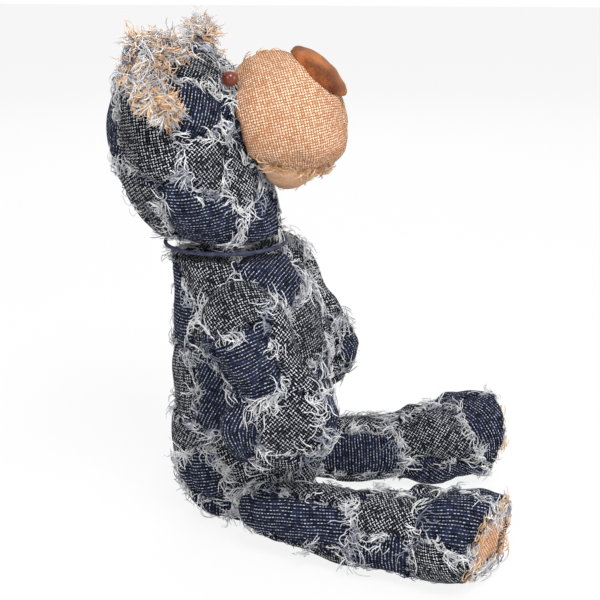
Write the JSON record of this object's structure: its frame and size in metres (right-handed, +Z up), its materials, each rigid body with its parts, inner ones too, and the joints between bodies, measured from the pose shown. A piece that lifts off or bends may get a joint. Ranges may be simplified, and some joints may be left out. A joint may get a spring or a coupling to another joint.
{
  "type": "sitting plush bear",
  "caption": "Soft sitting toy bear pieced from frayed dark cloth patches, with a burlap muzzle, ear linings and soles, and turning head, ears, arms and legs.",
  "frame": {"origin": "middle of the flat seat panel, on the surface that the toy sits on", "axes": "+Z up, -Y the way the bear faces, +X to the bear's left"},
  "size_m": [0.1632, 0.1911, 0.2357],
  "materials": {
    "denim_weave": "matte",
    "denim_stitched": "matte",
    "burlap": "matte",
    "fine_peach_weave": "matte",
    "suede": "matte",
    "eye_bead": "gloss",
    "thread": "matte",
    "fibre_filling": "matte",
    "squeaker_plastic": "matte"
  },
  "bodies": {
    "torso": {"chest_patch": "denim_weave", "belly_patch": "denim_stitched", "lap_patch": "denim_stitched", "upper_back_patch": "denim_weave", "mid_back_patch": "denim_stitched", "lower_back_patch": "denim_weave", "left_upper_flank_patch": "denim_stitched", "left_mid_flank_patch": "denim_weave", "left_lower_flank_patch": "denim_weave", "right_upper_flank_patch": "denim_weave", "right_mid_flank_patch": "denim_stitched", "right_lower_flank_patch": "denim_weave", "seat_panel": "denim_weave", "torso_stuffing": "fibre_filling", "squeaker_bulb": "squeaker_plastic", "squeaker_reed": "squeaker_plastic", "neck_thread": "thread", "shoulder_threads": "thread", "hip_threads": "thread"},
    "head": {"throat_patch": "denim_weave", "left_jaw_patch": "denim_stitched", "right_jaw_patch": "denim_stitched", "nape_patch": "denim_weave", "brow_patch": "denim_weave", "left_temple_patch": "denim_weave", "right_temple_patch": "denim_weave", "back_head_patch": "denim_stitched", "crown_patch": "denim_weave", "head_stuffing": "fibre_filling", "muzzle_upper": "burlap", "muzzle_lower": "fine_peach_weave", "muzzle_stuffing": "fibre_filling", "nose_pad": "suede", "left_eye": "eye_bead", "right_eye": "eye_bead", "left_ear_stitch": "thread", "right_ear_stitch": "thread"},
    "left_ear": {"left_ear_back": "denim_weave", "left_ear_lining": "burlap"},
    "left_arm": {"left_upper_arm_patches": "denim_stitched", "left_paw_patches": "denim_weave", "left_arm_stuffing": "fibre_filling"},
    "left_leg": {"left_thigh_patches": "denim_stitched", "left_foot_patches": "denim_weave", "left_sole": "burlap", "left_leg_stuffing": "fibre_filling"},
    "right_ear": {"right_ear_back": "denim_weave", "right_ear_lining": "burlap"},
    "right_arm": {"right_upper_arm_patches": "denim_stitched", "right_paw_patches": "denim_weave", "right_arm_stuffing": "fibre_filling"},
    "right_leg": {"right_thigh_patches": "denim_stitched", "right_foot_patches": "denim_weave", "right_sole": "burlap", "right_leg_stuffing": "fibre_filling"}
  },
  "joints": [
    {"name": "neck_turn", "type": "hinge", "parent": "torso", "child": "head", "pos_m": [0, 0.012, 0.1382], "axis": [0, 0, 1], "range_deg": [-35, 35]},
    {"name": "left_shoulder", "type": "hinge", "parent": "torso", "child": "left_arm", "pos_m": [0.0347, -0.005, 0.113], "axis": [-1, 0, 0], "range_deg": [-35, 80]},
    {"name": "left_hip", "type": "hinge", "parent": "torso", "child": "left_leg", "pos_m": [0.0192, -0.012, 0.02005], "axis": [-1, 0, 0], "range_deg": [-90, 12]},
    {"name": "left_ear_fold", "type": "hinge", "parent": "head", "child": "left_ear", "pos_m": [0.04261, 0.03107, 0.21533], "axis": [0.4954, -0.1699, -0.8519], "range_deg": [-20, 20], "stiffness_Nm_per_rad": 0.01},
    {"name": "right_shoulder", "type": "hinge", "parent": "torso", "child": "right_arm", "pos_m": [-0.0347, -0.005, 0.113], "axis": [-1, 0, 0], "range_deg": [-35, 80]},
    {"name": "right_hip", "type": "hinge", "parent": "torso", "child": "right_leg", "pos_m": [-0.0192, -0.012, 0.02005], "axis": [-1, 0, 0], "range_deg": [-90, 12]},
    {"name": "right_ear_fold", "type": "hinge", "parent": "head", "child": "right_ear", "pos_m": [-0.04261, 0.03107, 0.21533], "axis": [0.4954, 0.1699, 0.8519], "range_deg": [-20, 20], "stiffness_Nm_per_rad": 0.01}
  ]
}
